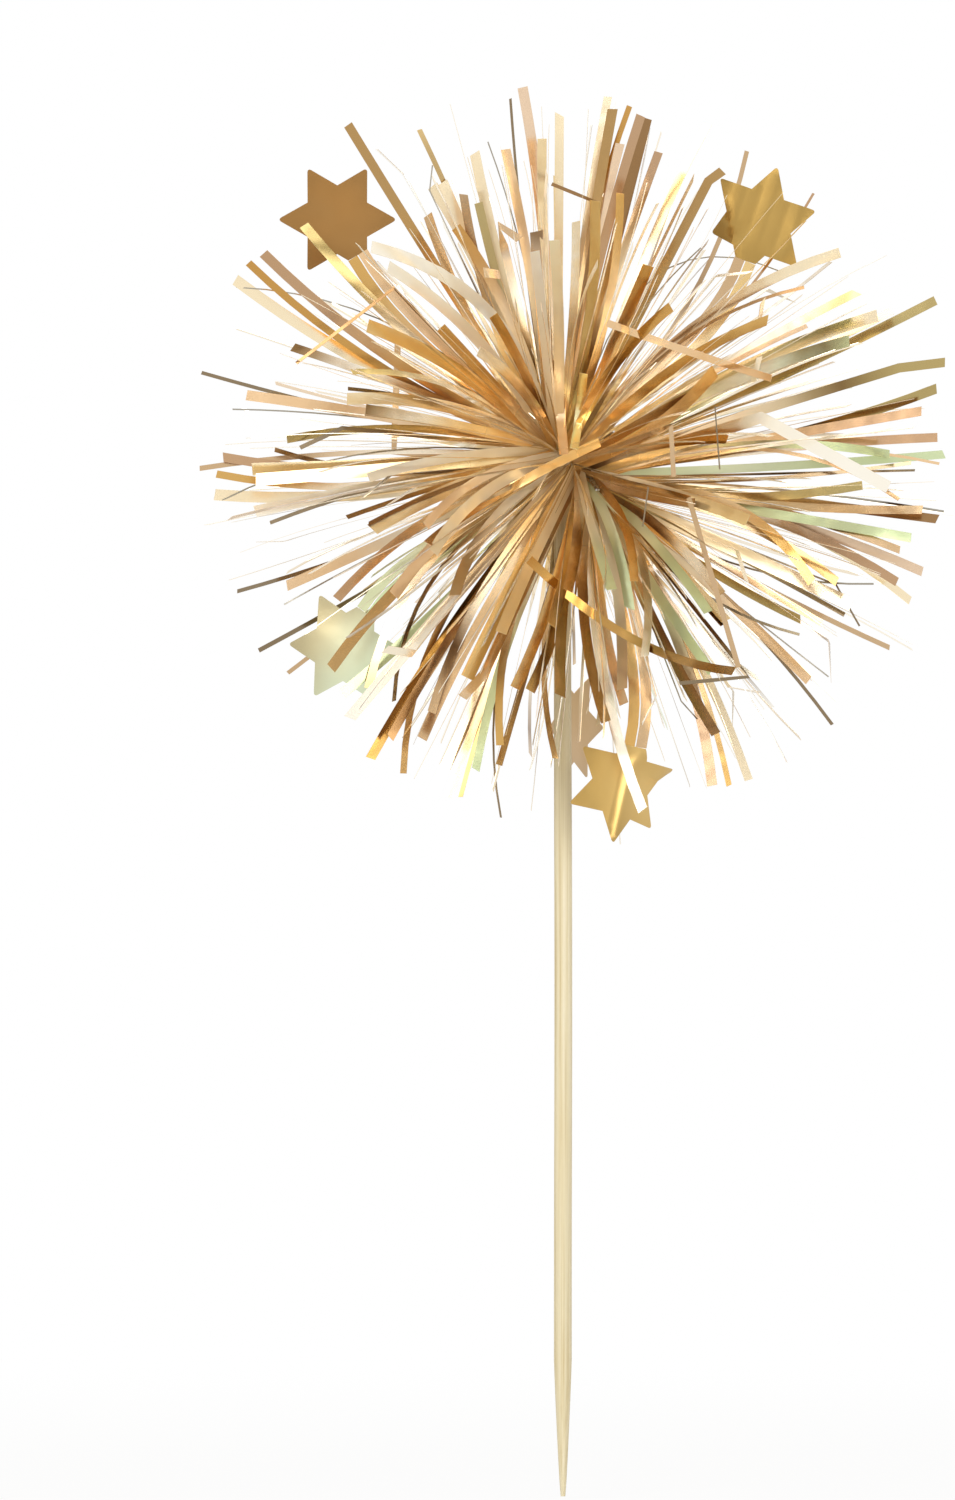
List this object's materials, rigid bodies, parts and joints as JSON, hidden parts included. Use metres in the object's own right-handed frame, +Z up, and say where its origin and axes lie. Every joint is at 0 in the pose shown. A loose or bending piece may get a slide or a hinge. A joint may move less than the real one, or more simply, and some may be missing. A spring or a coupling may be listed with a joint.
{
  "type": "tinsel cupcake topper",
  "caption": "Gold tinsel burst with foil stars on film stems, bound by a wound wire core to the head of a pointed bamboo skewer that pushes into a cake.",
  "frame": {"origin": "on the skewer's axis at the height of the cake's top, 40 mm above the end of the point", "axes": "+Z up along the skewer towards the burst, -Y towards the pictured front, +X to the right seen from the front"},
  "size_m": [0.0798, 0.0793, 0.1491],
  "materials": {
    "bamboo": "pale bamboo with fine lengthwise fibres, dry and matt",
    "hot_glue": "cloudy hot-melt glue",
    "core_wire": "bright drawn wire",
    "tinsel_film": "mirror-bright metallised gold film with champagne, rose and pale green tints",
    "star_film": "satin metallised gold film"
  },
  "bodies": {
    "topper": {"skewer": "bamboo", "glue_sleeve": "hot_glue", "core_wire": "core_wire", "tinsel_bundle_01": "tinsel_film", "tinsel_bundle_02": "tinsel_film", "tinsel_bundle_03": "tinsel_film", "tinsel_bundle_04": "tinsel_film", "tinsel_bundle_05": "tinsel_film", "tinsel_bundle_06": "tinsel_film", "tinsel_bundle_07": "tinsel_film", "tinsel_bundle_08": "tinsel_film", "tinsel_bundle_09": "tinsel_film", "tinsel_bundle_10": "tinsel_film", "tinsel_bundle_11": "tinsel_film", "tinsel_bundle_12": "tinsel_film", "star_stem_1": "tinsel_film", "star_stem_2": "tinsel_film", "star_stem_3": "tinsel_film", "star_stem_4": "tinsel_film", "star_stem_5": "tinsel_film"},
    "star_1": {"star_1": "star_film"},
    "star_2": {"star_2": "star_film"},
    "star_3": {"star_3": "star_film"},
    "star_4": {"star_4": "star_film"},
    "star_5": {"star_5": "star_film"}
  },
  "joints": [
    {"name": "star_1_flutter", "type": "hinge", "parent": "topper", "child": "star_1", "pos_m": [-0.02181, -0.00399, 0.09203], "axis": [0.866, 0, 0.5], "range_deg": [-25, 25], "stiffness_Nm_per_rad": 0.00001},
    {"name": "star_2_flutter", "type": "hinge", "parent": "topper", "child": "star_2", "pos_m": [0.0195, 0.00399, 0.09182], "axis": [0.9455, 0, -0.3256], "range_deg": [-25, 25], "stiffness_Nm_per_rad": 0.00001},
    {"name": "star_3_flutter", "type": "hinge", "parent": "topper", "child": "star_3", "pos_m": [-0.021, 0.00249, 0.05415], "axis": [-0.8203, 0.1744, 0.5446], "range_deg": [-25, 25], "stiffness_Nm_per_rad": 0.00001},
    {"name": "star_4_flutter", "type": "hinge", "parent": "topper", "child": "star_4", "pos_m": [0.00757, -0.00926, 0.03985], "axis": [-0.9744, 0.0391, 0.2215], "range_deg": [-25, 25], "stiffness_Nm_per_rad": 0.00001},
    {"name": "star_5_flutter", "type": "hinge", "parent": "topper", "child": "star_5", "pos_m": [0.00028, 0.00808, 0.04566], "axis": [-0.4066, -0.7647, -0.5], "range_deg": [-25, 25], "stiffness_Nm_per_rad": 0.00001}
  ]
}
